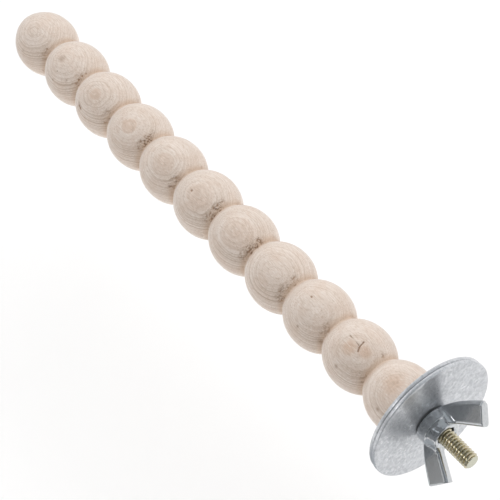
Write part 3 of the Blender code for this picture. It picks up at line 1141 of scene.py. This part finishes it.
# %% Wings of the nut
WING_SPAN = 0.0382
WING_HEIGHT = 0.0184
WING_WIDTH = 0.0089
WING_LEAN = math.radians(40)
WING_THICKNESS = 0.0039
WING_FLARE = 0.0014
FLARE_END = 0.2
WING_RIM = 0.0013
RIM_STEPS = 5
TIP_ROUND = 0.0004
TIP_SHARE = 0.02
TIP_STEPS = 4
WING_HANDLE = Vector((0.0035, 0.0123))
WING_ROOT = 0.0048
WING_FOOT = Vector((0.0005, 0.0064))
ROOT_INSET = 0.0012
WING_DRIFT = 0.0007
WING_ROWS = 28

tip_across = Vector((-math.sin(WING_LEAN), math.cos(WING_LEAN)))
tip_inner = Vector((WING_HEIGHT, WING_SPAN / 2 - tip_across.y * WING_WIDTH))
tip_outer = tip_inner + tip_across * WING_WIDTH


def wing_point(share, across):
    """(height, reach) of a point of the wing: share runs from hub to tip, across from outer to inner edge."""
    outer = WING_FOOT.lerp(WING_HANDLE, share).lerp(WING_HANDLE.lerp(tip_outer, share), share)
    inner = Vector((HUB_HEIGHT, BOSS_TOP_RADIUS - BOSS_TOP_ROUND)).lerp(tip_inner, share)
    return outer.lerp(inner, across)


def wing_stations():
    """Shares of a wing's length, each with how far the section is drawn in; None lies inside the hub."""
    stations = [(None, 0.0)] + [(step / WING_ROWS, 0.0) for step in range(WING_ROWS)]
    for step in range(TIP_STEPS + 1):
        turn = math.pi / 2 * step / TIP_STEPS
        stations.append((1 - TIP_SHARE * (1 - math.sin(turn)), TIP_ROUND * (1 - math.cos(turn))))
    return stations


def rounded_section(width, thickness):
    """Points round a wing's section, its inner corners rounded and its outer ones bevelled flat."""
    points = []
    for quarter, (side, face) in enumerate(((1, 1), (-1, 1), (-1, -1), (1, -1))):
        for step in range(RIM_STEPS + 1):
            turn = math.pi / 2 * (quarter + step / RIM_STEPS)
            bulge = 1.0 if side > 0 else abs(math.cos(turn)) + abs(math.sin(turn))
            across = side * (width / 2 - WING_RIM) + WING_RIM * math.cos(turn) / bulge
            through = face * (thickness / 2 - WING_RIM) + WING_RIM * math.sin(turn) / bulge
            points.append((across + width / 2, through))
    return points


def wing_row(share, drawn_in, side):
    """Points round the wing at one station."""
    inside = share is None
    share = share or 0.0
    outer = wing_point(share, 0.0)
    inner = wing_point(share, 1.0)
    across = (inner - outer).normalized()
    flare = WING_FLARE * max(1 - share / FLARE_END, 0.0) ** 2
    width = (inner - outer).length - 2 * drawn_in
    thickness = WING_THICKNESS + 2 * flare - 2 * drawn_in
    row = []
    for along, through in rounded_section(width, thickness):
        height, reach = outer + across * (along + drawn_in)
        if inside:
            reach = WING_ROOT
            height = min(max(height, ROOT_INSET), HUB_HEIGHT - ROOT_INSET)
        row.append(Vector((height, through, side * reach + WING_DRIFT)))
    return row


def nut_wing(side):
    """One wing, on the +Z side for side 1 and the -Z side for side -1, rooted inside the hub."""
    rows = [wing_row(share, drawn_in, side) for share, drawn_in in wing_stations()]
    shape = bmesh.new()
    bmesh.ops.create_grid(shape, x_segments=len(rows) - 1, y_segments=len(rows[0]), size=1.0)
    for vert in shape.verts:
        row = rows[round((vert.co.x + 1) / 2 * (len(rows) - 1))]
        vert.co = row[round((vert.co.y + 1) / 2 * len(row)) % len(row)]
    bmesh.ops.remove_doubles(shape, verts=shape.verts, dist=WELD)
    bmesh.ops.holes_fill(shape, edges=[edge for edge in shape.edges if edge.is_boundary])
    return close_up(shape)


nut = combine(combine(nut_hub(), nut_wing(1), "UNION"), nut_wing(-1), "UNION")
print("nut joined from hub and wings,", len(nut.faces), "faces")

# %% Melt the joints
MELT_VOXEL = 0.00016
MELT_PASSES = 5
FORGED_WAVE = 0.000008
FORGED_SCALE = 260.0
HUB_WAVE = 0.00005
HUB_SCALE = 800.0
HUB_FADE = (0.0085, 0.0065)
NUT_TURN = math.radians(-32.2)


def melt(shape, voxel, passes):
    """Remesh a shape finely and smooth it, so that its joints become fillets."""
    work = object_from("melt", shape)
    remesh = work.modifiers.new("remesh", "REMESH")
    remesh.mode = "VOXEL"
    remesh.voxel_size = voxel
    even = work.modifiers.new("even", "SMOOTH")
    even.factor = 0.5
    even.iterations = passes
    return evaluated(work)


nut_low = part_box("wing_nut")[0]
nut = melt(nut, MELT_VOXEL, MELT_PASSES)
nut.normal_update()
for vert in nut.verts:
    on_hub = float(smooth_step(math.hypot(vert.co.y, vert.co.z), *HUB_FADE))
    forged = FORGED_WAVE * noise.noise(vert.co * FORGED_SCALE)
    vert.co += vert.normal * (forged + HUB_WAVE * on_hub * noise.noise(vert.co * HUB_SCALE))
bmesh.ops.rotate(nut, verts=nut.verts, cent=(0.0, 0.0, 0.0), matrix=Matrix.Rotation(NUT_TURN, 3, "X"))
bmesh.ops.translate(nut, verts=nut.verts, vec=(nut_low.x, 0.0, 0.0))
nut_zinc = zinc_finish(
    "bright_nut_zinc",
    colour=(0.64, 0.655, 0.665),
    shade=(0.55, 0.565, 0.58),
    gloss=(0.08, 0.18),
    mottled=0.06,
    metal=0.97,
)
add_piece("forged_wing_nut", nut, nut_zinc, "wing_nut", "wing_nut")

# %% [markdown]
# ## Sizes
# The boxes of the frame and of the dressed object are printed side by side.

# %% Sizes
visual_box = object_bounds()
sizes = {"cad": [list(corner) for corner in cad_box], "visual": [list(corner) for corner in visual_box]}
for name, (low, high) in sizes.items():
    print(name, "box", [round(1000 * (top - bottom), 1) for bottom, top in zip(low, high)], "mm")
